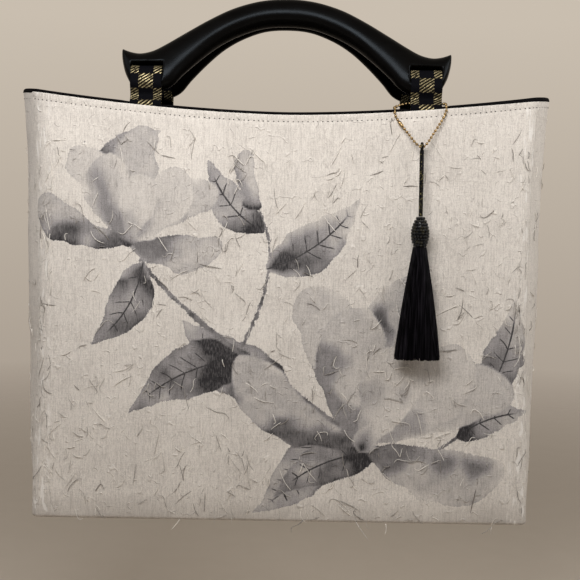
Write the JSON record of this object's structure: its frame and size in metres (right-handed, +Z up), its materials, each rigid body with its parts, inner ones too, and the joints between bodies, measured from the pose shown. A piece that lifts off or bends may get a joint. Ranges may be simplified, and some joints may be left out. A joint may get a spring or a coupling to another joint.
{
  "type": "obi handbag",
  "caption": "Upright handbag of pale obi cloth with dark curved wooden handles on check brocade tabs, an open lined mouth and a tassel charm on a ball chain, hanging by its handles.",
  "frame": {"origin": "where a hook bears, under the crowns of the handles and midway between them", "axes": "+Z up, the front with the charm faces -Y, +X along the mouth to the right of the front"},
  "size_m": [0.3898, 0.1138, 0.3806],
  "materials": {
    "obi_cloth": "ribbed ivory crepe with cut threads and an ink-wash painting on the front",
    "lining_cloth": "plain black cloth",
    "handle_wood": "black lacquer, satin gloss",
    "brocade": "black and old-gold check brocade",
    "chain_metal": "gold-coloured, polished",
    "tassel_thread": "black silky thread",
    "head_beads": "small black and gold seed beads"
  },
  "bodies": {
    "root": {"front_panel": "obi_cloth", "back_panel": "obi_cloth", "gusset_left": "obi_cloth", "gusset_right": "obi_cloth", "base_panel": "obi_cloth", "lining": "lining_cloth", "handle_front": "handle_wood", "handle_back": "handle_wood", "tab_front_left": "brocade", "tab_front_right": "brocade", "tab_back_left": "brocade", "tab_back_right": "brocade", "charm_chain": "chain_metal", "tassel_cord": "tassel_thread", "tassel_head": "head_beads", "tassel_skirt": "tassel_thread"}
  },
  "joints": []
}
